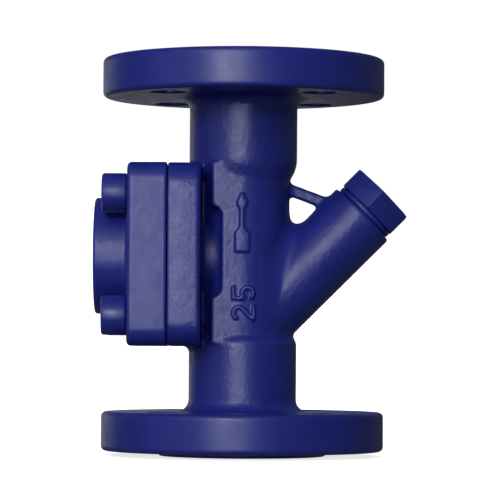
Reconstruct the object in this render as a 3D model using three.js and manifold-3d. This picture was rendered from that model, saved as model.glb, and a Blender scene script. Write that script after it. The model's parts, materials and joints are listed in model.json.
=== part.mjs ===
// Flanged DN25 thermostatic steam trap with a built-in Y-strainer.
// Millimetres, +Z up. The origin is the centre of the inlet's raised face, on the pipe axis.
// Inlet at the bottom, outlet at the top, regulator cover towards -X, strainer branch towards +X.
import * as THREE from 'three';
import { mergeVertices } from 'three/addons/utils/BufferGeometryUtils.js';
import Module from 'manifold-3d';

const wasm = await Module();
wasm.setup();

const GAP = 0.3; // clearance between pieces that touch

// Pipe flanges, DN25 PN40
const FLANGE = { radius: 57.5, rim: 16, edge: 2, face: 34, raised: 2, pitch: 42.5, hole: 7 };
const HEIGHT = 164; // over both raised faces
const NECK = { radius: 22, fillet: 5, lowEnd: 49, lowRound: 4, highEnd: 108, highRound: 13 };
const PIPE_BORE = 12.5;

// Middle block of the casting: a U in plan, round towards +X
const BLOCK = { low: 45, high: 119.5, half: 20, centre: -1.1, edge: -12.9 };
const POCKET = { low: 65, high: 101, edge: -8.8 };
const WAIST = { radius: 18, chamberWall: 15.5 };

// Square joint between body and cover, measured from the pipe axis towards -X
const REGULATOR_HEIGHT = 81.3;
const JOINT = { back: 17, face: 30.1, size: 73.5, corner: 10, screw: 24.45 };
const COVER = { face: JOINT.face + GAP, back: 46.3, corner: 7.5, edge: 2, boss: 23.7, end: 60.3 };
const CHAMBER = { radius: 12.6, floor: 12, roof: 56 };
const RECESS = { inner: 15.5, outer: 21, depth: 2 };

// Regulator on its axis, measured as the joint is
const SEAT = { end: 6.6, shoulder: 14.1, top: 20, flats: 20, thread: 6.7, hole: 7, orifice: 2.6 };
const STEM = { radius: 2, end: 52, cone: 3.6, tip: 1.8, stroke: 2 };
const DISC = { count: 12, radius: 10.3, thick: 1.3, bore: 2.5, start: 22.6 };
const NUT = { flats: 8, bore: 2.3, thick: 4, lock: 2.5 };

// Outlet passage
const OUTLET = { floor: 76, radius: 7, cone: 98, full: 108 };

// Strainer branch, measured along its own axis from where it meets the pipe axis
const BRANCH = { height: 50, radius: 14.9, end: 68.9, tilt: Math.PI / 4 };
const STRAINER = { register: 9.3, bore: 10.8, thread: 12, start: -6, shoulder: 18, mouth: 55 };
const SCREEN = { outer: 8.2, inner: 7.4, start: 14.3, end: 61 };
const PLUG = { shank: 11.7, inner: 56.6, under: 71.6, top: 80.9, flats: 27, recess: 8.6, depth: 5.4 };
const PLUG_TURN = -2.2; // degrees about the branch, from where two corners of the hexagon lie level
const DUCT = { radius: 2.8, side: 6.5, from: [12, 68], to: [-16, 74.5] };
const BAR = { from: [16, 109.3], to: [35, 103.3], width: 4.8, thick: 5.5 };

const SCREW = { radius: 5, hole: 5.4, head: 8, rise: 10, tip: 20, socket: 8, depth: 5 };
const MARK = { rise: 0.8, sink: 0.6, stroke: 1.5 };

const paint = () => new THREE.MeshStandardMaterial({ color: 0x1d2480, roughness: 0.38, metalness: 0.1 });
const steel = () => new THREE.MeshStandardMaterial({ color: 0xb4b6ba, roughness: 0.3, metalness: 1 });
const bimetal = () => new THREE.MeshStandardMaterial({ color: 0x9c9488, roughness: 0.4, metalness: 1 });
const graphite = () => new THREE.MeshStandardMaterial({ color: 0x3a3b3f, roughness: 0.7, metalness: 0.1 });
const copper = () => new THREE.MeshStandardMaterial({ color: 0xb06a45, roughness: 0.35, metalness: 1 });

const trap = new THREE.Group();

// Regulator frame: local +Z runs from the pipe axis towards the cover, local +X is up.
const regulator = new THREE.Group();
regulator.position.z = REGULATOR_HEIGHT;
regulator.rotation.y = -Math.PI / 2;

// Strainer frame: local +Z runs out along the branch.
const strainer = new THREE.Group();
strainer.position.z = BRANCH.height;
strainer.rotation.y = BRANCH.tilt;
trap.add(regulator, strainer);

function toSolid(geometry) {
  const bare = geometry.index ? geometry.clone() : geometry;
  bare.deleteAttribute('normal');
  bare.deleteAttribute('uv');
  const merged = mergeVertices(bare, 1e-4);
  return new wasm.Manifold(new wasm.Mesh({
    numProp: 3,
    vertProperties: new Float32Array(merged.attributes.position.array),
    triVerts: new Uint32Array(merged.index.array),
  }));
}

function toGeometry(solid) {
  const mesh = solid.getMesh();
  const geometry = new THREE.BufferGeometry();
  geometry.setAttribute('position', new THREE.BufferAttribute(mesh.vertProperties, 3));
  geometry.setIndex(new THREE.BufferAttribute(mesh.triVerts, 1));
  geometry.computeVertexNormals();
  return geometry;
}

// Turned solid about Z; the profile is a list of [radius, height], bottom to top on the outside.
function turned(profile, segments = 32) {
  const points = profile.map(([radius, height]) => new THREE.Vector2(radius, height));
  return toSolid(new THREE.LatheGeometry(points, segments).rotateX(Math.PI / 2));
}

function rod(radius, low, high, segments = 32) {
  return turned([[0, low], [radius, low], [radius, high], [0, high]], segments);
}

function ring(inner, outer, low, high, segments = 32) {
  return turned([[inner, low], [outer, low], [outer, high], [inner, high], [inner, low]], segments);
}

function extruded(shape, low, high, curveSegments = 6) {
  const settings = { depth: high - low, bevelEnabled: false, curveSegments };
  return toSolid(new THREE.ExtrudeGeometry(shape, settings).translate(0, 0, low));
}

function box(size, centre) {
  return toSolid(new THREE.BoxGeometry(...size).translate(...centre));
}

// Hexagon prism about Z with two corners on the Y axis
function hexagon(flats, low, high) {
  const corner = flats / Math.sqrt(3);
  const shape = new THREE.Shape();
  for (let side = 0; side < 6; side += 1) {
    const angle = Math.PI / 2 + (side * Math.PI) / 3;
    const point = [corner * Math.cos(angle), corner * Math.sin(angle)];
    if (side === 0) shape.moveTo(...point);
    else shape.lineTo(...point);
  }
  shape.closePath();
  return extruded(shape, low, high);
}

function roundedSquare(size, corner) {
  const half = size / 2;
  const inner = half - corner;
  const shape = new THREE.Shape();
  shape.moveTo(inner, -half);
  shape.absarc(inner, -inner, corner, -Math.PI / 2, 0, false);
  shape.absarc(inner, inner, corner, 0, Math.PI / 2, false);
  shape.absarc(-inner, inner, corner, Math.PI / 2, Math.PI, false);
  shape.absarc(-inner, -inner, corner, Math.PI, Math.PI * 1.5, false);
  shape.closePath();
  return shape;
}

function arcPoints(centreX, centreY, radius, from, to, steps) {
  return Array.from({ length: steps + 1 }, (_, step) => {
    const angle = from + ((to - from) * step) / steps;
    return [centreX + radius * Math.cos(angle), centreY + radius * Math.sin(angle)];
  });
}

// The four corners of a square pattern, as [x, y]
function corners(half) {
  return [[half, half], [-half, half], [-half, -half], [half, -half]];
}

function joined(solids) {
  return solids.reduce((whole, next) => whole.add(next));
}

function cut(solid, cutters) {
  return cutters.reduce((rest, cutter) => rest.subtract(cutter), solid);
}

function placedLike(group, solid) {
  group.updateMatrix();
  return solid.transform(group.matrix.toArray());
}

function addPart(group, name, solid, material) {
  const mesh = new THREE.Mesh(toGeometry(solid), material);
  mesh.name = name;
  group.add(mesh);
}

// ---- Body casting -------------------------------------------------------------------------

// One flange with its neck, as a profile that starts on the axis at the raised face
function flangeProfile() {
  const { radius, rim, edge, face, raised } = FLANGE;
  const top = raised + rim;
  const root = NECK.radius + NECK.fillet;
  return [
    [0, 0], [face, 0], [face, raised], [radius - edge, raised], [radius, raised + edge],
    [radius, top - edge], [radius - edge, top],
    ...arcPoints(root, top + NECK.fillet, NECK.fillet, -Math.PI / 2, -Math.PI, 4),
  ];
}

function spool() {
  const { radius, lowEnd, lowRound, highEnd, highRound } = NECK;
  const low = flangeProfile();
  const high = low.map(([across, height]) => [across, HEIGHT - height]).reverse();
  const highFoot = -Math.acos((WAIST.radius - radius + highRound) / highRound);
  const middle = [
    ...arcPoints(radius - lowRound, lowEnd - lowRound, lowRound, 0, Math.PI / 2, 3),
    ...arcPoints(radius - highRound, highEnd + highRound, highRound, highFoot, 0, 4),
  ];
  return turned([...low, ...middle, ...high], 48);
}

function middleBlock() {
  const { low, high, half, centre, edge } = BLOCK;
  const shape = new THREE.Shape();
  shape.moveTo(edge, -half);
  shape.lineTo(centre, -half);
  shape.absarc(centre, 0, half, -Math.PI / 2, Math.PI / 2, false);
  shape.lineTo(edge, half);
  shape.closePath();
  return extruded(shape, low, high, 16).subtract(pocketCut());
}

// The round waist between block and joint: the pipe's own wall and the wall of the regulator chamber
function waist() {
  const pipe = rod(WAIST.radius, BLOCK.low, BLOCK.high - 1, 48);
  const chamber = placedLike(regulator, rod(WAIST.chamberWall, 0, JOINT.back + 1, 48));
  return pipe.add(chamber);
}

function webBar() {
  const [fromX, fromZ] = BAR.from;
  const [toX, toZ] = BAR.to;
  const length = Math.hypot(toX - fromX, toZ - fromZ);
  const bar = new THREE.BoxGeometry(length, BAR.thick, BAR.width);
  bar.rotateY(Math.atan2(fromZ - toZ, toX - fromX));
  bar.translate((fromX + toX) / 2, 0, (fromZ + toZ) / 2);
  return toSolid(bar);
}

// Raised stroke on the front face of the block, through points given as [x, z]
function raisedStroke(points, width) {
  const depth = MARK.rise + MARK.sink;
  const y = -BLOCK.half - MARK.rise + depth / 2;
  return points.slice(1).map(([toX, toZ], index) => {
    const [fromX, fromZ] = points[index];
    const length = Math.hypot(toX - fromX, toZ - fromZ) + width * 0.6;
    const bar = new THREE.BoxGeometry(length, depth, width);
    bar.rotateY(Math.atan2(fromZ - toZ, toX - fromX));
    bar.translate((fromX + toX) / 2, y, (fromZ + toZ) / 2);
    return toSolid(bar);
  });
}

// Flow arrow that points to the outlet, and the nominal size read from below upwards
function castMarks() {
  const arrow = [
    ...raisedStroke([[-0.5, 105.5], [-0.5, 86]], 1.6),
    ...raisedStroke([[-3, 101], [-0.5, 106], [2, 101]], 1.3),
    ...raisedStroke([[-3.2, 84], [-0.5, 91], [2.4, 84]], 1.3),
  ];
  const left = -4;
  const right = 4.5;
  const middle = (left + right) / 2;
  const two = [[left + 1.5, 56.5], [left, 58], [left, 60], [left + 2, 61.5], [right, 56.5], [right, 61.5]];
  const five = [[left, 68.5], [left, 64], [middle - 1, 64], [middle - 1, 67.5], [right, 67.5], [right, 64]];
  return joined([...arrow, ...raisedStroke(two, MARK.stroke), ...raisedStroke(five, MARK.stroke)]);
}

function bodyOutside() {
  const joint = extruded(roundedSquare(JOINT.size, JOINT.corner), JOINT.back, JOINT.face);
  const branch = rod(BRANCH.radius, 0, BRANCH.end, 36);
  return joined([
    spool(), middleBlock(), waist(), placedLike(regulator, joint), placedLike(strainer, branch),
    webBar(), castMarks(),
  ]);
}

function boltHoles() {
  const spread = FLANGE.pitch * Math.SQRT1_2;
  const thick = FLANGE.rim + FLANGE.raised + 1;
  return corners(spread).flatMap(([x, y]) => [-1, HEIGHT - thick].map(
    (low) => rod(FLANGE.hole, low, low + thick + 1, 24).translate([x, y, 0]),
  ));
}

function pipeBores() {
  const inlet = rod(PIPE_BORE, -1, BRANCH.height - 2, 32);
  const outlet = turned([
    [0, OUTLET.floor], [OUTLET.radius, OUTLET.floor], [OUTLET.radius, OUTLET.cone],
    [PIPE_BORE, OUTLET.full], [PIPE_BORE, HEIGHT + 1], [0, HEIGHT + 1],
  ]);
  return [inlet, outlet];
}

function regulatorBores() {
  const chamber = turned([
    [0, OUTLET.radius - 3], [SEAT.hole, OUTLET.radius - 3], [SEAT.hole, CHAMBER.floor],
    [CHAMBER.radius, CHAMBER.floor], [CHAMBER.radius, JOINT.face - RECESS.depth],
    [RECESS.outer, JOINT.face - RECESS.depth], [RECESS.outer, JOINT.face + 1], [0, JOINT.face + 1],
  ]);
  const threads = corners(JOINT.screw).map(
    ([x, y]) => rod(SCREW.hole, JOINT.back + 2, JOINT.face + 1, 24).translate([x, y, 0]),
  );
  return [chamber, ...threads].map((solid) => placedLike(regulator, solid));
}

function strainerBore() {
  const { register, bore, thread, start, shoulder, mouth } = STRAINER;
  return placedLike(strainer, turned([
    [0, start], [register, start], [register, shoulder], [bore, shoulder], [bore, mouth],
    [thread, mouth], [thread, BRANCH.end + 1], [0, BRANCH.end + 1],
  ]));
}

// The ducts carry the strained condensate round the outlet passage into the regulator chamber.
function ducts() {
  const [fromX, fromZ] = DUCT.from;
  const [toX, toZ] = DUCT.to;
  const length = Math.hypot(toX - fromX, toZ - fromZ);
  return [-DUCT.side, DUCT.side].map((side) => {
    const duct = new THREE.CylinderGeometry(DUCT.radius, DUCT.radius, length, 12);
    duct.rotateZ(Math.PI / 2);
    duct.rotateY(Math.atan2(toZ - fromZ, fromX - toX));
    duct.translate((fromX + toX) / 2, side, (fromZ + toZ) / 2);
    return toSolid(duct);
  });
}

// Cuts the block's edge back to the waist on both sides, beside the joint
function pocketCut() {
  const { low, high, edge } = POCKET;
  const width = edge + JOINT.back;
  return box([width, BLOCK.half * 2 + 2, high - low], [edge - width / 2, 0, (low + high) / 2]);
}

function trapBody() {
  return cut(bodyOutside(), [
    ...boltHoles(), ...pipeBores(), ...regulatorBores(), strainerBore(), ...ducts(),
  ]);
}

// ---- Cover and its screws -----------------------------------------------------------------

function cover() {
  const { face, back, corner, edge, boss, end } = COVER;
  const plate = extruded(roundedSquare(JOINT.size, corner), face, back - edge);
  const lip = extruded(roundedSquare(JOINT.size - 2 * edge, corner - 1), back - edge, back);
  const dome = turned([
    [0, back - 1], [boss, back - 1], [boss, end - edge / 2], [boss - edge / 2, end], [0, end],
  ], 40);
  const holes = corners(JOINT.screw).map(
    ([x, y]) => rod(SCREW.hole, face - 1, back + 1, 24).translate([x, y, 0]),
  );
  return cut(joined([plate, lip, dome]), [rod(CHAMBER.radius, face - 1, CHAMBER.roof), ...holes]);
}

function coverScrew() {
  const under = COVER.back + GAP;
  const top = under + SCREW.rise;
  const blank = turned([
    [0, SCREW.tip], [SCREW.radius, SCREW.tip], [SCREW.radius, under], [SCREW.head, under],
    [SCREW.head, top - 1], [SCREW.head - 1, top], [0, top],
  ], 24);
  return blank.subtract(hexagon(SCREW.socket, top - SCREW.depth, top + 1));
}

// ---- Regulator ----------------------------------------------------------------------------

function valveSeat() {
  const blank = hexagon(SEAT.flats, SEAT.shoulder, SEAT.top)
    .add(rod(SEAT.thread, SEAT.end, SEAT.shoulder + 1));
  return blank.subtract(rod(SEAT.orifice, SEAT.end - 1, SEAT.top + 1, 24));
}

// The cone's flank meets the orifice's edge at the end of the stroke.
function valveStem() {
  const { radius, end, cone, tip, stroke } = STEM;
  const contact = SEAT.end - GAP - stroke;
  return turned([
    [0, tip], [cone, tip], [cone, contact + SEAT.orifice - cone],
    [radius, contact + SEAT.orifice - radius], [radius, end], [0, end],
  ], 24);
}

function stemNut(low, thick) {
  return hexagon(NUT.flats, low, low + thick).subtract(rod(NUT.bore, low - 1, low + thick + 1, 24));
}

const discPitch = DISC.thick + GAP;
const stackEnd = DISC.start + DISC.count * discPitch;
const washerEnd = stackEnd + 1.5;
const nutStart = washerEnd + GAP;
const lockStart = nutStart + NUT.thick + GAP;

// ---- Strainer -----------------------------------------------------------------------------

function strainerPlug() {
  const { shank, inner, under, top, flats, recess, depth } = PLUG;
  return hexagon(flats, under, top).rotate([0, 0, PLUG_TURN]).add(rod(shank, inner, under + 1, 36))
    .subtract(rod(recess, inner - 1, inner + depth));
}

// ---- Assembly -----------------------------------------------------------------------------

addPart(trap, 'trap_body', trapBody(), paint());
addPart(regulator, 'cover', cover(), paint());
corners(JOINT.screw).forEach(([x, y], index) => {
  addPart(regulator, `cover_screw_${index + 1}`, coverScrew().translate([x, y, 0]), paint());
});
addPart(regulator, 'cover_gasket',
  ring(RECESS.inner, RECESS.outer - GAP, JOINT.face - RECESS.depth + GAP, JOINT.face), graphite());
addPart(regulator, 'valve_seat', valveSeat(), steel());
addPart(regulator, 'seat_gasket',
  ring(SEAT.hole + GAP, 9.3, CHAMBER.floor + GAP, SEAT.shoulder - GAP), copper());
addPart(regulator, 'stack_base', ring(DISC.bore, 9.8, SEAT.top + GAP, DISC.start - GAP), steel());
for (let index = 0; index < DISC.count; index += 1) {
  const low = DISC.start + index * discPitch;
  const name = `bimetal_disc_${String(index + 1).padStart(2, '0')}`;
  addPart(regulator, name, ring(DISC.bore, DISC.radius, low, low + DISC.thick), bimetal());
}
addPart(regulator, 'valve_stem', valveStem(), steel());
addPart(regulator, 'stack_washer', ring(DISC.bore, 7, stackEnd, washerEnd), steel());
addPart(regulator, 'adjusting_nut', stemNut(nutStart, NUT.thick), steel());
addPart(regulator, 'lock_nut', stemNut(lockStart, NUT.lock), steel());
addPart(strainer, 'strainer_plug', strainerPlug(), paint());
addPart(strainer, 'plug_seal',
  ring(PLUG.shank + GAP, 13.4, BRANCH.end + GAP, PLUG.under - GAP, 36), paint());
addPart(strainer, 'strainer_screen', ring(SCREEN.inner, SCREEN.outer, SCREEN.start, SCREEN.end), steel());
addPart(strainer, 'screen_ring',
  ring(6.8, STRAINER.register - GAP, SCREEN.start - 2, SCREEN.start - GAP), steel());

export default trap;
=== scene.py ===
"""Flanged steam trap with a built-in Y-strainer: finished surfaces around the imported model."""

import json
import math

import bmesh
import bpy
import numpy as np
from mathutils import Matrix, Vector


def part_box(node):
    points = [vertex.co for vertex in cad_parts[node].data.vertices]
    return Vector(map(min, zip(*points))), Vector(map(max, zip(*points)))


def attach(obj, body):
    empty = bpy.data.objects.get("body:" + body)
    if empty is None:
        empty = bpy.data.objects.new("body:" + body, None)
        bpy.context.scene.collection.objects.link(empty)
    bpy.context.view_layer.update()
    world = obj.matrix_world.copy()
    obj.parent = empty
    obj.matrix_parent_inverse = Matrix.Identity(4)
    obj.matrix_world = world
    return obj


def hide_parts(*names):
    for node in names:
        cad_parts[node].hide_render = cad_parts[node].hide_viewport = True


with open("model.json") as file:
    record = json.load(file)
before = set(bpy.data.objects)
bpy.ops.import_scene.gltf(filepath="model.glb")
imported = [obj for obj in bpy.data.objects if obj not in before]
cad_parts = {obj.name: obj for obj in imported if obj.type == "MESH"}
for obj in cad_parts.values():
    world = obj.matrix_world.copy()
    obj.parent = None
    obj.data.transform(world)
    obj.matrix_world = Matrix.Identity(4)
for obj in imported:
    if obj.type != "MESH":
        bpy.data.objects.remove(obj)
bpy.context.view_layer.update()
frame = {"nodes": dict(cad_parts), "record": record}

import openvdb
from mathutils import Matrix, Vector, noise

MM = 0.001  # the shape fields below are in millimetres, and meshes are scaled by this to metres


def box_mm(node):
    """Lowest and highest corner of a CAD node in millimetres."""
    low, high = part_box(node)
    return [c / MM for c in low], [c / MM for c in high]


body_low, body_high = box_mm("trap_body")
cover_low, cover_high = box_mm("cover")
screw_low, screw_high = box_mm("cover_screw_1")

GAP = 0.3  # the CAD's clearance between pieces that touch
HEIGHT = body_high[2]

# Pipe flanges and necks; the bolt circle and the hole are given by their radii
FLANGE_RADIUS = body_high[1]
RIM = 16.0
RAISED = 2.0
RIM_EDGE = 2.0
FACE_RADIUS = 34.0
BOLT_CIRCLE = 42.5
BOLT_HOLE = 7.0
NECK_RADIUS = 22.0
NECK_FILLET = 5.0
LOW_NECK_END, LOW_NECK_ROUND = 49.0, 4.0
HIGH_NECK_END, HIGH_NECK_ROUND = 108.0, 13.0
PIPE_BORE = 12.5

# Middle block, a U in plan, with its raised marks and the small bar, whose ends are (x, z)
BLOCK_LOW, BLOCK_HIGH = 45.0, 119.5
BLOCK_HALF = 20.0
BLOCK_CENTRE = -1.1
BLOCK_EDGE_X = -12.9
POCKET_LOW, POCKET_HIGH, POCKET_X = 64.5, 101.0, -8.8
WAIST_RADIUS = 18.0
CHAMBER_WALL = 15.5
MARK_RISE = 0.8
MARK_WIDTH = 1.3
BAR_START, BAR_END = (15.0, 110.1), (37.5, 101.8)
BAR_HALF_WIDTH, BAR_HALF_THICK = 2.4, 2.75

# Outlet passage, a throat that widens to the pipe bore
THROAT_RADIUS, THROAT_FLOOR, THROAT_TOP = 7.0, 76.0, 98.0
THROAT_FLARE = 0.55

# Square joint between body and cover, measured from the pipe axis towards -X
REGULATOR_HEIGHT = (cover_low[2] + cover_high[2]) / 2
JOINT_BACK = 17.0
JOINT_FACE = -cover_high[0] - GAP
JOINT_HALF = cover_high[1]
JOINT_CORNER = 10.0
COVER_CORNER = 7.5
COVER_BACK = 46.3
COVER_END = -cover_low[0]
BOSS_RADIUS = 23.7
SCREW_SPREAD = 24.45
CHAMBER_RADIUS, CHAMBER_FLOOR, CHAMBER_ROOF = 12.6, 12.0, 56.0
RECESS_RADIUS, RECESS_DEPTH = 21.0, 2.0
SEAT_HOLE = 7.0
SCREW_HOLE = 5.4
SCREW_HEAD, SCREW_SHANK = 8.0, 5.0  # radii
SOCKET_FLATS, SOCKET_DEPTH = 8.0, 5.0

# Strainer branch, measured along its own axis from where that meets the pipe axis
BRANCH_HEIGHT = 50.0
BRANCH_RADIUS = 14.9
BRANCH_END = 68.9
REGISTER_RADIUS, STRAINER_RADIUS, THREAD_RADIUS = 9.3, 10.8, 12.0
STRAINER_START, SHOULDER, THREAD_START = -6.0, 18.0, 55.0
PLUG_INNER, PLUG_UNDER, PLUG_TOP, PLUG_FLATS = 56.6, 71.6, 80.9, 27.0
PLUG_SHANK, PLUG_RECESS, PLUG_RECESS_DEPTH = 11.7, 8.6, 5.4
PLUG_TURN = math.radians(-2.2)
SEAL_INNER, SEAL_OUTER = 12.0, 13.4

# Meshes: size of the field's cells, and the number of triangles that the mesh is thinned to
BODY_CELL, BODY_TRIANGLES = 0.6, 190_000
COVER_CELL, COVER_TRIANGLES = 0.45, 90_000
BROAD_WAVE, FINE_WAVE = 9.0, 2.7  # size of the unevenness of cast surfaces
TURNED_STEPS = 96


# ---- Shape fields: numpy arrays of signed distance, positive outside -----------------------


def meet(a, b, edge):
    """Where both a and b are inside, with the shared edge rounded."""
    corner = np.hypot(np.maximum(edge + a, 0), np.maximum(edge + b, 0))
    return np.minimum(-edge, np.maximum(a, b)) + corner


def join(a, b, fillet):
    """Where a or b is inside, with a fillet between them."""
    corner = np.hypot(np.maximum(fillet - a, 0), np.maximum(fillet - b, 0))
    return np.maximum(fillet, np.minimum(a, b)) - corner


def cut(a, b, edge):
    """a with b taken away and the new edge rounded."""
    return meet(a, -b, edge)


def between(along, low, high):
    """A slab from low to high along one direction."""
    return np.abs(along - (low + high) / 2) - (high - low) / 2


def drum(across, along, radius, low, high, edge):
    """A round bar with rounded ends."""
    return meet(across - radius, between(along, low, high), edge)


def rounded_square(u, v, half, corner):
    """The outline of a square with rounded corners."""
    du = np.abs(u) - half + corner
    dv = np.abs(v) - half + corner
    outside = np.hypot(np.maximum(du, 0), np.maximum(dv, 0))
    return outside + np.minimum(np.maximum(du, dv), 0) - corner


def segment(u, v, start, end):
    """Distance to a straight line from start to end in a plane."""
    du, dv = end[0] - start[0], end[1] - start[1]
    share = ((u - start[0]) * du + (v - start[1]) * dv) / (du * du + dv * dv)
    share = np.clip(share, 0, 1)
    return np.hypot(u - start[0] - share * du, v - start[1] - share * dv)


def stroke(u, v, points, width):
    """A drawn line of constant width through the points."""
    lines = [segment(u, v, start, end) for start, end in zip(points, points[1:])]
    return np.minimum.reduce(lines) - width / 2


def arc(centre, radius, start, end, steps=8):
    """Points on an arc, angles in degrees."""
    angles = np.radians(np.linspace(start, end, steps))
    return [(centre[0] + radius * math.cos(a), centre[1] + radius * math.sin(a)) for a in angles]


def flange_and_neck(across, z, neck_end, neck_round):
    """One pipe flange with its neck, for the end at z = 0."""
    rim = drum(across, z, FLANGE_RADIUS, RAISED, RAISED + RIM, RIM_EDGE)
    face = drum(across, z, FACE_RADIUS, 0, RAISED + RIM / 2, edge=0.4)
    neck = drum(across, z, NECK_RADIUS, RIM / 2, neck_end, neck_round)
    return join(join(rim, face, fillet=0.4), neck, NECK_FILLET)


def middle_block(x, y, z):
    """The U-shaped block, its pockets and the narrow waist beside the joint."""
    side = np.where(x > BLOCK_CENTRE, np.hypot(x - BLOCK_CENTRE, y), np.abs(y) + 0 * x)
    plan = meet(side - BLOCK_HALF, BLOCK_EDGE_X - x, edge=1.5)
    block = meet(plan, between(z, BLOCK_LOW, BLOCK_HIGH), edge=1.5)
    pocket = meet(between(z, POCKET_LOW, POCKET_HIGH), between(x, -30, POCKET_X), edge=4.0)
    pipe_wall = drum(np.hypot(x, y), z, WAIST_RADIUS, BLOCK_LOW, BLOCK_HIGH, edge=1.0)
    around = np.hypot(y, z - REGULATOR_HEIGHT)
    chamber_wall = drum(around, -x, CHAMBER_WALL, 0, JOINT_BACK + 2, edge=0.5)
    waist = join(pipe_wall, chamber_wall, fillet=2.0)
    return join(cut(block, pocket, edge=1.2), waist, fillet=1.5)


def joint_plate(x, y, z):
    """The square flange that the cover is bolted to."""
    outline = rounded_square(y, z - REGULATOR_HEIGHT, JOINT_HALF, JOINT_CORNER)
    back = meet(outline, between(-x, JOINT_BACK, JOINT_FACE + 4), edge=1.6)
    return meet(back, -x - JOINT_FACE, edge=0.7)


def arrow_outline(x, z):
    """Flow arrow with a narrow head and a broad tail, pointing up."""
    side = np.abs(x + 0.4)
    head = meet(side - 2.3 + 0.45 * np.abs(z - 102.3), between(z, 99.5, 106.3), edge=0.3)
    shaft = meet(side - 1.0, between(z, 91, 101), edge=0.1)
    tail = meet(side - np.clip((93.6 - z) * 0.9, 0.8, 3.0), between(z, 82.5, 94), edge=0.3)
    return np.minimum(np.minimum(head, shaft), tail)


def number_outline(x, z):
    """The size number 25, read from below upwards, so a digit's top is towards -X."""
    top, bottom = -3.8, 4.4
    two = [*arc((top + 2.4, 58.0), 2.4, 240, 80), (bottom, 55.4), (bottom, 60.6)]
    five = [(top, 68.4), (top, 64.0), (top + 3.4, 63.8), *arc((bottom - 2.4, 66.0), 2.4, 225, -50, 10)]
    return np.minimum(stroke(x, z, two, MARK_WIDTH), stroke(x, z, five, MARK_WIDTH))


def cast_marks(x, y, z):
    """Arrow and number standing proud of the block's front face."""
    outline = np.minimum(arrow_outline(x, z), number_outline(x, z))
    return meet(outline, between(y, -BLOCK_HALF - MARK_RISE, -BLOCK_HALF + 2), edge=0.35)


def along_branch(x, z):
    """Distances out along the branch's axis and up from that axis."""
    return (x + z - BRANCH_HEIGHT) / math.sqrt(2), (z - BRANCH_HEIGHT - x) / math.sqrt(2)


def casting_outside(x, y, z):
    """The casting without its holes."""
    across = np.hypot(x, y)
    low_end = flange_and_neck(across, z, LOW_NECK_END, LOW_NECK_ROUND)
    high_end = flange_and_neck(across, HEIGHT - z, HEIGHT - HIGH_NECK_END, HIGH_NECK_ROUND)
    body = join(np.minimum(low_end, high_end), middle_block(x, y, z), fillet=1.0)
    body = join(body, joint_plate(x, y, z), fillet=2.5)

    out, up = along_branch(x, z)
    branch = drum(np.hypot(up, y), out, BRANCH_RADIUS, STRAINER_START, BRANCH_END, edge=0.8)
    crotch = 2.5 + np.clip(up, 0, 15) * 0.32  # the fillet grows towards the upper side
    body = join(body, branch, crotch)

    bar_line = segment(x, z, BAR_START, BAR_END)
    bar = meet(bar_line - BAR_HALF_WIDTH, np.abs(y) - BAR_HALF_THICK, edge=1.2)
    body = join(body, bar, fillet=2.0)
    return join(body, cast_marks(x, y, z), fillet=0.4)


def bolt_holes(x, y, z):
    """Four holes in each flange."""
    spread = BOLT_CIRCLE / math.sqrt(2)
    bolt = np.hypot(np.abs(x) - spread, np.abs(y) - spread)
    flanges = between(z, 30, HEIGHT - 30)
    return np.maximum(bolt - BOLT_HOLE, -flanges)


def pipe_bores(x, y, z):
    """Inlet bore, and the outlet's throat with its widening mouth."""
    across = np.hypot(x, y)
    inlet = np.maximum(across - PIPE_BORE, z - BRANCH_HEIGHT + 2)
    throat = np.maximum(across - THROAT_RADIUS, between(z, THROAT_FLOOR, HEIGHT))
    flare = np.clip(THROAT_RADIUS + (z - THROAT_TOP) * THROAT_FLARE, THROAT_RADIUS, PIPE_BORE)
    mouth = np.maximum(across - flare, THROAT_TOP - z)
    return np.minimum(np.minimum(inlet, throat), mouth)


def regulator_bores(x, y, z):
    """Seat hole, chamber and gasket recess, each of which opens into the next."""
    side = np.hypot(y, z - REGULATOR_HEIGHT)
    beyond = 40  # past the joint's face
    chamber = np.maximum(side - CHAMBER_RADIUS, between(-x, CHAMBER_FLOOR, beyond))
    recess = np.maximum(side - RECESS_RADIUS, between(-x, JOINT_FACE - RECESS_DEPTH, beyond))
    seat_hole = np.maximum(side - SEAT_HOLE, between(-x, 4, 20))
    return np.minimum(np.minimum(chamber, recess), seat_hole)


def strainer_bores(x, y, z):
    """Register, strainer bore and thread, each of which runs on into the next."""
    out, up = along_branch(x, z)
    around = np.hypot(up, y)
    register = np.maximum(around - REGISTER_RADIUS, between(out, STRAINER_START, 30))
    strainer = np.maximum(around - STRAINER_RADIUS, between(out, SHOULDER, 60))
    thread = np.maximum(around - THREAD_RADIUS, between(out, THREAD_START, 90))
    return np.minimum(np.minimum(register, strainer), thread)


def body_field(x, y, z):
    """The whole casting."""
    body = casting_outside(x, y, z)
    body = cut(body, bolt_holes(x, y, z), edge=0.5)
    body = cut(body, pipe_bores(x, y, z), edge=0.6)
    body = cut(body, regulator_bores(x, y, z), edge=0.3)
    return cut(body, strainer_bores(x, y, z), edge=0.4)


def cover_field(x, y, z):
    """Square cover plate with its round boss, screw holes and inner chamber."""
    along = -x
    up = z - REGULATOR_HEIGHT
    side = np.hypot(y, up)
    outline = rounded_square(y, up, JOINT_HALF, COVER_CORNER)
    plate = meet(outline, between(along, JOINT_FACE + GAP, COVER_BACK), edge=1.8)
    foot = meet(outline, between(along, JOINT_FACE + GAP, COVER_BACK - 4), edge=0.7)
    boss = drum(side, along, BOSS_RADIUS, COVER_BACK - 8, COVER_END, edge=1.2)
    cover = join(np.minimum(plate, foot), boss, fillet=1.6)
    holes = np.hypot(np.abs(y) - SCREW_SPREAD, np.abs(up) - SCREW_SPREAD) - SCREW_HOLE
    chamber = np.maximum(side - CHAMBER_RADIUS, along - CHAMBER_ROOF)
    return cut(cut(cover, holes, edge=0.4), chamber, edge=0.4)


# ---- Meshes --------------------------------------------------------------------------------


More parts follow.
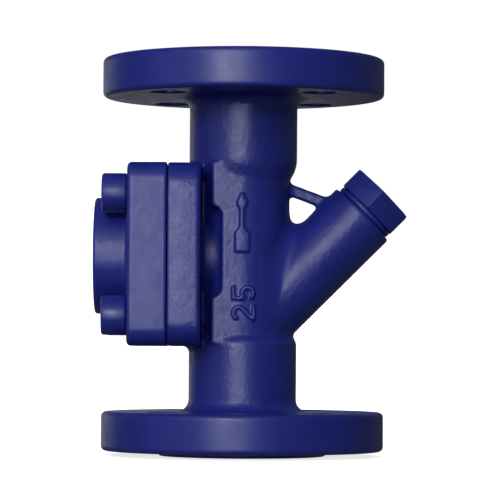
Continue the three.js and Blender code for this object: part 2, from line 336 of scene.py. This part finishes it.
def skin(name, field, low, high, cell, triangles):
    """A mesh of the surface where the field is zero, thinned to about this many triangles."""
    axes = [np.arange(a - 3 * cell, b + 4 * cell, cell, dtype=np.float32) for a, b in zip(low, high)]
    values = field(*np.meshgrid(*axes, indexing="ij", sparse=True)) / cell
    values = np.clip(values, -3, 3).astype(np.float32)
    grid = openvdb.FloatGrid(3.0)
    grid.copyFromArray(np.ascontiguousarray(values))
    points, quads = grid.convertToQuads()
    start = np.array([axis[0] for axis in axes])
    points = (points * cell + start) * MM
    mesh = bpy.data.meshes.new(name)
    mesh.from_pydata(points.tolist(), [], quads[:, ::-1].tolist())
    mesh.update()
    piece = bpy.data.objects.new(name, mesh)
    bpy.context.scene.collection.objects.link(piece)
    if 2 * len(quads) > triangles:
        thin = piece.modifiers.new("thin", "DECIMATE")
        thin.ratio = triangles / (2 * len(quads))
        apply_modifiers(piece)
    shade_smooth(piece)
    return piece


def apply_modifiers(piece):
    """Turns the piece's modifiers into plain geometry."""
    graph = bpy.context.evaluated_depsgraph_get()
    mesh = bpy.data.meshes.new_from_object(piece.evaluated_get(graph))
    piece.modifiers.clear()
    piece.data = mesh
    mesh.name = piece.name


def shade_smooth(piece):
    """Shades across the faces, so that curved surfaces show no facets."""
    piece.data.polygons.foreach_set("use_smooth", [True] * len(piece.data.polygons))


def roughen(piece, height, is_cast):
    """Moves the vertices of cast surfaces in and out along their normals, by up to about height."""
    mesh = piece.data
    points = np.empty(3 * len(mesh.vertices), np.float32)
    mesh.vertices.foreach_get("co", points)
    points = points.reshape(-1, 3)
    normals = np.empty_like(points)
    mesh.vertex_normals.foreach_get("vector", normals.ravel())
    shifts = np.zeros((len(points), 1), np.float32)
    for index, point in enumerate(points):
        spot = Vector(point) / MM
        if is_cast(spot):
            broad = noise.noise(spot / BROAD_WAVE)
            fine = noise.noise(spot / FINE_WAVE + Vector((7, 3, 5)))
            shifts[index] = broad * 0.6 + fine * 0.4
    mesh.vertices.foreach_set("co", (points + normals * shifts * height * MM).ravel())
    mesh.update()


def turned(name, profile):
    """A turned mesh about local Z from a profile of (radius, height) in millimetres."""
    shape = bmesh.new()
    rows = [shape.verts.new((radius * MM, 0, height * MM)) for radius, height in profile]
    edges = [shape.edges.new(pair) for pair in zip(rows, rows[1:])]
    bmesh.ops.spin(shape, geom=rows + edges, axis=(0, 0, 1), cent=(0, 0, 0), steps=TURNED_STEPS,
                   angle=math.tau)
    bmesh.ops.remove_doubles(shape, verts=shape.verts, dist=1e-7)
    bmesh.ops.recalc_face_normals(shape, faces=shape.faces)
    return finish_piece(name, shape)


def finish_piece(name, shape):
    """Turns a bmesh into an object in the scene."""
    mesh = bpy.data.meshes.new(name)
    shape.to_mesh(mesh)
    shape.free()
    piece = bpy.data.objects.new(name, mesh)
    bpy.context.scene.collection.objects.link(piece)
    return piece


def hexagon(name, flats, low, high):
    """A hexagonal prism about local Z with two corners on the Y axis."""
    shape = bmesh.new()
    corner = flats / math.sqrt(3)
    rings = []
    for height in (low, high):
        ring = []
        for side in range(6):
            angle = math.pi / 2 + side * math.pi / 3
            point = (corner * math.cos(angle) * MM, corner * math.sin(angle) * MM, height * MM)
            ring.append(shape.verts.new(point))
        rings.append(ring)
    shape.faces.new(rings[0][::-1])
    shape.faces.new(rings[1])
    for side in range(6):
        after = (side + 1) % 6
        shape.faces.new((rings[0][side], rings[0][after], rings[1][after], rings[1][side]))
    return finish_piece(name, shape)


def boolean(piece, other, operation):
    """Joins or cuts with another mesh, which is used up."""
    change = piece.modifiers.new("boolean", "BOOLEAN")
    change.object = other
    change.operation = operation
    change.solver = "EXACT"
    apply_modifiers(piece)
    bpy.data.objects.remove(other)


def bevel(piece, width, angle):
    """Rounds the edges that are sharper than the angle, in degrees."""
    edge = piece.modifiers.new("edge", "BEVEL")
    edge.width = width * MM
    edge.segments = 2
    edge.limit_method = "ANGLE"
    edge.angle_limit = math.radians(angle)
    apply_modifiers(piece)
    shade_smooth(piece)
    piece.data.set_sharp_from_angle(angle=math.radians(35))


# Local +Z of a turned piece: towards the cover, or out along the branch
TO_COVER = Matrix.Translation((0, 0, REGULATOR_HEIGHT * MM)) @ Matrix.Rotation(-math.pi / 2, 4, "Y")
OUT_BRANCH = Matrix.Translation((0, 0, BRANCH_HEIGHT * MM)) @ Matrix.Rotation(math.pi / 4, 4, "Y")


def place(piece, matrix):
    """Moves the mesh itself, so that the object stays at the origin."""
    piece.data.transform(matrix)
    piece.data.update()


# ---- Materials -----------------------------------------------------------------------------


class Finish:
    """A Principled material with a few procedural layers on it."""

    def __init__(self, name, color, roughness, metallic=0.0):
        self.material = bpy.data.materials.new(name)
        self.material.use_nodes = True
        self.nodes = self.material.node_tree.nodes
        self.links = self.material.node_tree.links
        self.shader = self.nodes["Principled BSDF"]
        self.set("Base Color", (*color, 1))
        self.set("Roughness", roughness)
        self.set("Metallic", metallic)
        self.position = self.nodes.new("ShaderNodeTexCoord").outputs["Object"]
        self.height = None

    def set(self, socket, value):
        """An even value on one of the shader's own sockets."""
        self.shader.inputs[socket].default_value = value

    def noise(self, size, detail=3.0, roughness=0.55, stretch=(1, 1, 1)):
        """A noise whose blobs are about size millimetres across."""
        mapping = self.nodes.new("ShaderNodeMapping")
        mapping.inputs["Scale"].default_value = stretch
        self.links.new(self.position, mapping.inputs["Vector"])
        texture = self.nodes.new("ShaderNodeTexNoise")
        texture.inputs["Scale"].default_value = 1 / (size * MM)
        texture.inputs["Detail"].default_value = detail
        texture.inputs["Roughness"].default_value = roughness
        self.links.new(mapping.outputs["Vector"], texture.inputs["Vector"])
        return texture.outputs["Fac"]

    def spread(self, factor, low, high):
        """The factor's middle range mapped to low .. high."""
        node = self.nodes.new("ShaderNodeMapRange")
        node.inputs["From Min"].default_value = 0.3
        node.inputs["From Max"].default_value = 0.7
        node.inputs["To Min"].default_value = low
        node.inputs["To Max"].default_value = high
        self.links.new(factor, node.inputs["Value"])
        return node.outputs["Result"]

    def color(self, factor, low, high):
        """Base colour that varies between two colours with the factor."""
        ramp = self.nodes.new("ShaderNodeValToRGB")
        ramp.color_ramp.elements[0].position = 0.3
        ramp.color_ramp.elements[0].color = (*low, 1)
        ramp.color_ramp.elements[1].position = 0.7
        ramp.color_ramp.elements[1].color = (*high, 1)
        self.links.new(factor, ramp.inputs["Fac"])
        self.links.new(ramp.outputs["Color"], self.shader.inputs["Base Color"])

    def roughness(self, factor, low, high):
        """Roughness that varies with the factor."""
        self.links.new(self.spread(factor, low, high), self.shader.inputs["Roughness"])

    def bump(self, factor, depth):
        """Adds relief of about depth millimetres."""
        node = self.nodes.new("ShaderNodeBump")
        node.inputs["Strength"].default_value = 1.0
        node.inputs["Distance"].default_value = depth * MM
        self.links.new(factor, node.inputs["Height"])
        if self.height:
            self.links.new(self.height, node.inputs["Normal"])
        self.height = node.outputs["Normal"]
        self.links.new(self.height, self.shader.inputs["Normal"])


def blue_paint(name, grain, depth):
    """Semi-gloss navy enamel; grain and depth are the size and height of the relief under it."""
    finish = Finish(name, (0.0122, 0.0195, 0.200), 0.38)
    finish.color(finish.noise(14.0), (0.0110, 0.0176, 0.183), (0.0134, 0.0214, 0.217))
    finish.roughness(finish.noise(6.0, detail=4), 0.33, 0.43)
    finish.bump(finish.noise(grain, detail=4, roughness=0.6), depth)
    finish.bump(finish.noise(0.7, detail=2), 0.02)
    return finish.material


def cast_metal(name):
    """Bare casting inside the bores, darkened by scale."""
    finish = Finish(name, (0.12, 0.11, 0.105), 0.6, 0.8)
    finish.color(finish.noise(5.0), (0.07, 0.062, 0.058), (0.17, 0.16, 0.15))
    finish.roughness(finish.noise(2.0), 0.45, 0.7)
    finish.bump(finish.noise(1.5, detail=5), 0.2)
    return finish.material


def turned_steel(name, low=(0.42, 0.43, 0.45), high=(0.62, 0.63, 0.65)):
    """Machined metal with fine cutting marks."""
    finish = Finish(name, high, 0.3, 1.0)
    finish.color(finish.noise(8.0), low, high)
    finish.roughness(finish.noise(1.5, detail=3), 0.22, 0.4)
    finish.bump(finish.noise(0.4, detail=2, stretch=(6, 1, 1)), 0.02)
    return finish.material


def graphite_sheet(name):
    """Soft dark sealing sheet."""
    finish = Finish(name, (0.05, 0.05, 0.055), 0.7)
    finish.color(finish.noise(2.0), (0.03, 0.03, 0.033), (0.07, 0.07, 0.075))
    finish.roughness(finish.noise(1.0), 0.55, 0.8)
    finish.bump(finish.noise(0.8), 0.05)
    return finish.material


# ---- Pieces --------------------------------------------------------------------------------


def add(piece, body, slot, material, *nodes):
    """The piece rides on a body, stands for CAD nodes and gets its finish."""
    piece.data.materials.clear()
    piece.data.materials.append(material)
    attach(piece, body)
    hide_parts(*nodes)


def is_rough_casting(spot):
    """True away from the turned flange rims, sealing faces, joint face and branch end."""
    across = math.hypot(spot.x, spot.y)
    on_face = min(spot.z, HEIGHT - spot.z) < RAISED + 0.6
    on_rim = across > FLANGE_RADIUS - RIM_EDGE - 0.5
    on_joint = -spot.x > JOINT_FACE - 0.3
    out, _ = along_branch(spot.x, spot.z)
    return not (on_face or on_rim or on_joint or out > BRANCH_END - 0.3)


def is_rough_cover(spot):
    """True between the cover's joint face and the turned end of its boss."""
    return JOINT_FACE + GAP + 0.4 < -spot.x < COVER_END - 0.2


def is_inside_bore(spot):
    """True on the walls of the pipe bores, a little way in from the mouths."""
    across = math.hypot(spot.x, spot.y)
    return across < PIPE_BORE + 0.3 and 1.2 < spot.z < HEIGHT - 1.2


def body_surface(spot):
    """Index of the body's material there: 0 as cast, 1 bare metal in the bores, 2 turned and painted."""
    if is_inside_bore(spot):
        return 1
    return 0 if is_rough_casting(spot) else 2


def make_body():
    """The casting, with a material for each kind of surface."""
    piece = skin("cast_body", body_field, body_low, body_high, BODY_CELL, BODY_TRIANGLES)
    roughen(piece, 0.18, is_rough_casting)
    add(piece, "body", "body_paint", body_paint, "trap_body")
    piece.data.materials.append(inner_metal)
    piece.data.materials.append(machined_paint)
    kinds = [body_surface(face.center / MM) for face in piece.data.polygons]
    piece.data.polygons.foreach_set("material_index", kinds)


def make_cover():
    """The bolted cover over the regulator."""
    piece = skin("regulator_cover", cover_field, cover_low, cover_high, COVER_CELL, COVER_TRIANGLES)
    roughen(piece, 0.1, is_rough_cover)
    add(piece, "body", "cover_paint", cover_paint, "cover")


def make_screw(index, side, up):
    """Socket-head cap screw, its edges rounded by paint."""
    name = f"cap_screw_{index}"
    head, shank = SCREW_HEAD, SCREW_SHANK
    under, top, tip = COVER_BACK + GAP, -screw_low[0], -screw_high[0]
    profile = [(0, tip), (shank - 0.6, tip), (shank, tip + 0.6), (shank, under), (head - 0.4, under),
               (head, under + 0.4), (head, top - 0.9), (head - 0.25, top - 0.35), (head - 0.9, top),
               (0, top)]
    piece = turned(name, profile)
    boolean(piece, hexagon("socket", SOCKET_FLATS, top - SOCKET_DEPTH, top + 1), "DIFFERENCE")
    bevel(piece, 0.25, 40)
    place(piece, TO_COVER @ Matrix.Translation((up * MM, side * MM, 0)))
    add(piece, "body", "screw_paint", machined_paint, f"cover_screw_{index}")


def make_plug():
    """Hexagon plug with turned-off corners, a shank and the recess that holds the screen."""
    corner = PLUG_FLATS / math.sqrt(3)
    inner, radius = PLUG_INNER, PLUG_SHANK
    piece = hexagon("hex_plug", PLUG_FLATS, PLUG_UNDER, PLUG_TOP)
    place(piece, Matrix.Rotation(PLUG_TURN, 4, "Z"))
    trim = turned("trim", [(0, PLUG_UNDER - 1), (corner + 1, PLUG_UNDER - 1), (corner + 1, PLUG_TOP - 1),
                           (corner - 1, PLUG_TOP), (0, PLUG_TOP)])
    boolean(piece, trim, "INTERSECT")
    shank = turned("shank", [(0, inner), (radius - 0.5, inner), (radius, inner + 0.5),
                             (radius, PLUG_UNDER + 1), (0, PLUG_UNDER + 1)])
    boolean(piece, shank, "UNION")
    floor = inner + PLUG_RECESS_DEPTH
    recess = turned("recess", [(0, inner - 1), (PLUG_RECESS, inner - 1), (PLUG_RECESS, floor), (0, floor)])
    boolean(piece, recess, "DIFFERENCE")
    bevel(piece, 0.35, 25)
    place(piece, OUT_BRANCH)
    add(piece, "plug", "plug_paint", machined_paint, "strainer_plug")


def make_seal():
    """Ring between the plug and the branch, with rounded edges."""
    low, high = BRANCH_END + GAP, PLUG_UNDER - GAP
    inner, outer = SEAL_INNER, SEAL_OUTER
    piece = turned("seal_ring", [(inner, low), (outer - 0.4, low), (outer, low + 0.4),
                                 (outer, high - 0.4), (outer - 0.4, high), (inner, high), (inner, low)])
    shade_smooth(piece)
    place(piece, OUT_BRANCH)
    add(piece, "screen_carrier", "plug_paint", machined_paint, "plug_seal")


body_paint = blue_paint("body_paint", 2.2, 0.20)
cover_paint = blue_paint("cover_paint", 3.0, 0.10)
machined_paint = blue_paint("machined_paint", 6.0, 0.03)
inner_metal = cast_metal("inner_metal")

make_body()
make_cover()
for index, (up, side) in enumerate([(1, 1), (-1, 1), (-1, -1), (1, -1)], start=1):
    make_screw(index, side * SCREW_SPREAD, up * SCREW_SPREAD)
make_plug()
make_seal()

slot_finish = {
    "stainless": turned_steel("stainless"),
    "bimetal": turned_steel("bimetal", (0.36, 0.33, 0.28), (0.55, 0.51, 0.45)),
    "screen_steel": turned_steel("screen_steel", (0.35, 0.36, 0.37), (0.5, 0.51, 0.52)),
    "graphite": graphite_sheet("graphite"),
    "copper": turned_steel("copper", (0.45, 0.2, 0.11), (0.65, 0.33, 0.2)),
}
for part in frame["record"]["subparts"]:
    if part["material_slot"] in slot_finish:
        node = frame["nodes"][part["node"]]
        node.data.materials.clear()
        node.data.materials.append(slot_finish[part["material_slot"]])


# ---- Stage, light and camera ---------------------------------------------------------------


def make_stage():
    """A pale floor that curves up into a pale wall behind the object."""
    shape = bmesh.new()
    half, front, back, tall, bend = 3.0, -2.5, 1.6, 3.0, 0.6
    steps = 12
    profile = [(front, 0.0)]
    for step in range(steps + 1):
        angle = -math.pi / 2 + step / steps * math.pi / 2
        profile.append((back - bend + bend * math.cos(angle), bend + bend * math.sin(angle)))
    profile.append((back, tall))
    rows = [[shape.verts.new((x, y, z)) for x in (-half, half)] for y, z in profile]
    for row, after in zip(rows, rows[1:]):
        shape.faces.new((row[0], row[1], after[1], after[0]))
    floor = finish_piece("floor", shape)
    shade_smooth(floor)
    material = bpy.data.materials.new("floor")
    material.use_nodes = True
    shader = material.node_tree.nodes["Principled BSDF"]
    shader.inputs["Base Color"].default_value = (0.9, 0.9, 0.9, 1)
    shader.inputs["Roughness"].default_value = 0.9
    shader.inputs["Specular IOR Level"].default_value = 0.0
    shader.inputs["Emission Color"].default_value = (1, 1, 1, 1)
    shader.inputs["Emission Strength"].default_value = 0.76
    floor.data.materials.append(material)
    floor.visible_diffuse = False  # its brightness doesn't reach the object, so the shades stay deep
    floor.visible_glossy = False


def area_light(name, azimuth, elevation, distance, size, power, color=(1, 1, 1)):
    """A soft light that faces the object. Azimuth 0 is on the camera's side, positive to the right."""
    light = bpy.data.lights.new(name, "AREA")
    light.shape = "RECTANGLE"
    light.size, light.size_y = size
    light.energy = power
    light.color = color
    lamp = bpy.data.objects.new(name, light)
    bpy.context.scene.collection.objects.link(lamp)
    a, e = math.radians(azimuth), math.radians(elevation)
    away = Vector((math.sin(a) * math.cos(e), -math.cos(a) * math.cos(e), math.sin(e)))
    lamp.location = Vector((0, 0, HEIGHT / 2 * MM)) + away * distance
    lamp.rotation_mode = "QUATERNION"
    lamp.rotation_quaternion = away.to_track_quat("Z", "Y")
    return lamp


def make_lights():
    """A tall softbox in front, a small one for a glint on the branch, and dim ones round the object."""
    cool, neutral = (0.92, 0.97, 1.0), (0.95, 0.98, 1.0)
    area_light("key", -10, 4, 1.5, (0.7, 1.0), 9.3, cool)
    area_light("spark", -16, 15, 1.5, (0.25, 0.25), 3.6)
    fill = area_light("fill", -20, 38, 1.5, (1.2, 1.0), 9, neutral)
    area_light("side", -60, 10, 1.5, (1.0, 1.0), 1.0)
    back = area_light("back", -155, 2, 1.43, (1.5, 0.5), 1.2)
    rear = area_light("rear", 165, 28, 1.3, (1.2, 1.0), 8, neutral)
    for lamp in (fill, rear):
        lamp.visible_glossy = False  # it brightens the shades and makes no highlight
    for lamp in (back, rear):
        lamp.visible_camera = False


def make_surroundings():
    """Dim bluish light from all round."""
    world = bpy.data.worlds.new("studio")
    world.use_nodes = True
    background = world.node_tree.nodes["Background"]
    background.inputs["Color"].default_value = (0.85, 0.92, 1, 1)
    background.inputs["Strength"].default_value = 0.10
    bpy.context.scene.world = world


def make_camera():
    """Long lens in front of the trap, level with the lower neck and looking slightly up."""
    distance, eye = 1.207, 0.0438
    aim = Vector((0.0029, 0, 0.0840))
    roll = math.radians(0.32)
    camera_data = bpy.data.cameras.new("camera")
    camera_data.lens = 212.7
    camera_data.sensor_width = 36.0
    camera = bpy.data.objects.new("camera", camera_data)
    bpy.context.scene.collection.objects.link(camera)
    camera.location = (0, -distance, eye)
    look = (aim - camera.location).to_track_quat("-Z", "Y")
    camera.rotation_mode = "QUATERNION"
    camera.rotation_quaternion = look @ Matrix.Rotation(roll, 4, "Z").to_quaternion()
    bpy.context.scene.camera = camera


make_stage()
make_lights()
make_surroundings()
make_camera()
bpy.context.scene.view_settings.view_transform = "Standard"  # shows the enamel's blue as it is mixed
